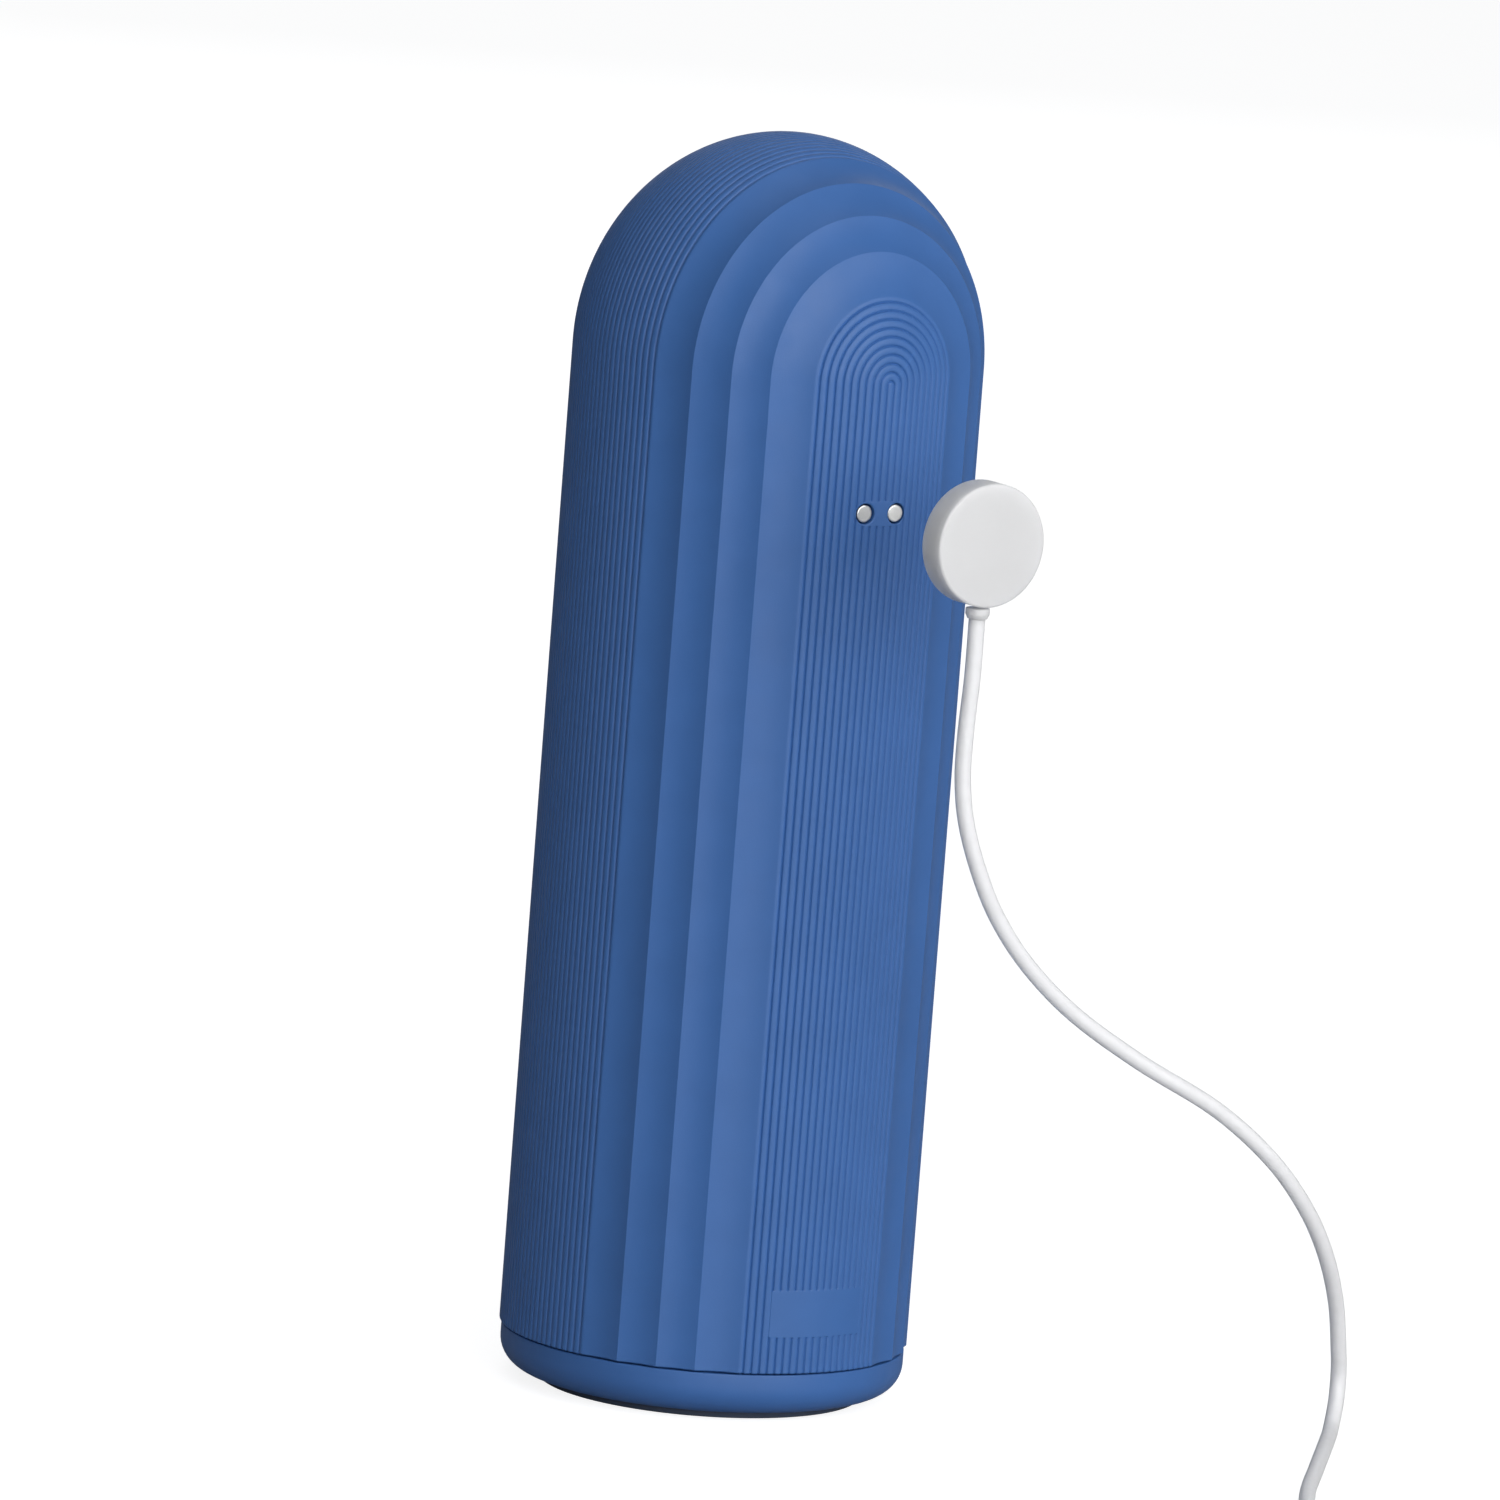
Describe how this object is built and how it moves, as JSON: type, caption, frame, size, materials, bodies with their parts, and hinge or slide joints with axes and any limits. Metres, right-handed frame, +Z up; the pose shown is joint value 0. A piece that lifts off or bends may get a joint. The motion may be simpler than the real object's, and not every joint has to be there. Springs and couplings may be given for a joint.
{
  "type": "electric toothbrush charging case",
  "caption": "Domed upright charging case with a ribbed and fluted shell, an electric toothbrush standing in it, and a round magnetic charging puck on a thin cord.",
  "frame": {"origin": "centre of the foot's underside, on the surface that the case stands on", "axes": "+Z up along the case's axis; -Y the side with the relief panel and the charging contacts; +Y the side with the button"},
  "size_m": [0.1635, 0.2068, 0.2176],
  "materials": {
    "case_blue": "soft-touch satin",
    "button_blue": "satin",
    "grey_rubber": "matte",
    "black_rubber": "matte",
    "white_plastic": "satin",
    "bristle_nylon": "fine nylon filaments",
    "cord_white": "satin, slightly warm",
    "cord_jacket": "smooth elastomer",
    "natural_plastic": "moulded",
    "steel": "satin",
    "contact_nickel": "bright",
    "contact_gold": "bright",
    "copper": "enamelled wire",
    "circuit_board": "solder mask",
    "black_component": "moulded",
    "cell_wrap": "shrink sleeve",
    "clear_window": "clear"
  },
  "bodies": {
    "stand": {"base_cap": "case_blue", "foot_pad": "grey_rubber", "seal_ring": "black_rubber", "base_board": "circuit_board", "charge_coil": "copper", "ferrite_rod": "black_component", "cradle": "white_plastic", "cradle_screw_1": "steel", "cradle_screw_2": "steel", "cradle_screw_3": "steel", "transfer_pin_left": "contact_gold", "transfer_pin_right": "contact_gold"},
    "shell": {"outer_shell": "case_blue", "inner_liner": "natural_plastic", "bulkhead": "natural_plastic", "uv_window": "clear_window", "uv_board": "circuit_board", "uv_diode": "natural_plastic", "contact_carrier": "grey_rubber", "charge_contact_left": "contact_nickel", "charge_contact_right": "contact_nickel", "battery_cell": "cell_wrap", "main_board": "circuit_board", "control_chip": "black_component", "battery_clip_lower": "grey_rubber", "battery_clip_upper": "grey_rubber", "button_board": "circuit_board", "button_switch": "black_component", "status_light": "clear_window", "transfer_pad_left": "contact_gold", "transfer_pad_right": "contact_gold"},
    "case_key": {"case_button": "button_blue"},
    "brush": {"handle_shell": "white_plastic", "handle_end_cap": "grey_rubber", "pickup_coil": "copper", "brush_cell": "cell_wrap", "brush_board": "circuit_board", "brush_switch": "black_component", "drive_motor": "steel", "shaft_bearing": "natural_plastic", "shaft_seal": "black_rubber"},
    "brush_key": {"brush_button": "button_blue"},
    "shaft": {"drive_shaft": "steel"},
    "head": {"brush_neck": "white_plastic", "bristle_field": "bristle_nylon"},
    "puck": {"puck_cover": "cord_white", "puck_face": "cord_white", "puck_board": "circuit_board", "puck_magnet_left": "steel", "puck_magnet_right": "steel", "puck_collar": "cord_white", "cord_lead": "cord_jacket", "cord_coil": "cord_jacket", "cord_tail": "cord_jacket", "cord_tie": "black_rubber", "plug_body": "cord_white", "plug_shell": "steel", "plug_tongue": "black_component"},
    "pin_left": {"puck_pin_left": "contact_gold"},
    "pin_right": {"puck_pin_right": "contact_gold"}
  },
  "joints": [
    {"name": "shell_lift", "type": "slide", "parent": "stand", "child": "shell", "axis": [0, 0, 1], "range_m": [0, 0.2]},
    {"name": "case_button_press", "type": "slide", "parent": "shell", "child": "case_key", "axis": [0, -1, 0], "range_m": [0, 0.0005], "stiffness_N_per_m": 800, "springref_m": -0.0005},
    {"name": "brush_lift", "type": "slide", "parent": "stand", "child": "brush", "axis": [0, 0, 1], "range_m": [0, 0.011]},
    {"name": "brush_button_press", "type": "slide", "parent": "brush", "child": "brush_key", "axis": [0, -1, 0], "range_m": [0, 0.0004], "stiffness_N_per_m": 800, "springref_m": -0.0005},
    {"name": "shaft_swing", "type": "hinge", "parent": "brush", "child": "shaft", "pos_m": [0, 0.007, 0.146], "axis": [0, 0, 1], "range_deg": [-5, 5], "stiffness_Nm_per_rad": 0.1},
    {"name": "head_pull", "type": "slide", "parent": "shaft", "child": "head", "axis": [0, 0, 1], "range_m": [0, 0.0095]},
    {"name": "puck_dock", "type": "slide", "parent": "stand", "child": "puck", "axis": [0, 1, 0], "range_m": [0, 0.0278]},
    {"name": "pin_left_press", "type": "slide", "parent": "puck", "child": "pin_left", "axis": [0, -1, 0], "range_m": [0, 0.0006], "stiffness_N_per_m": 600, "springref_m": -0.0005},
    {"name": "pin_right_press", "type": "slide", "parent": "puck", "child": "pin_right", "axis": [0, -1, 0], "range_m": [0, 0.0006], "stiffness_N_per_m": 600, "springref_m": -0.0005}
  ]
}
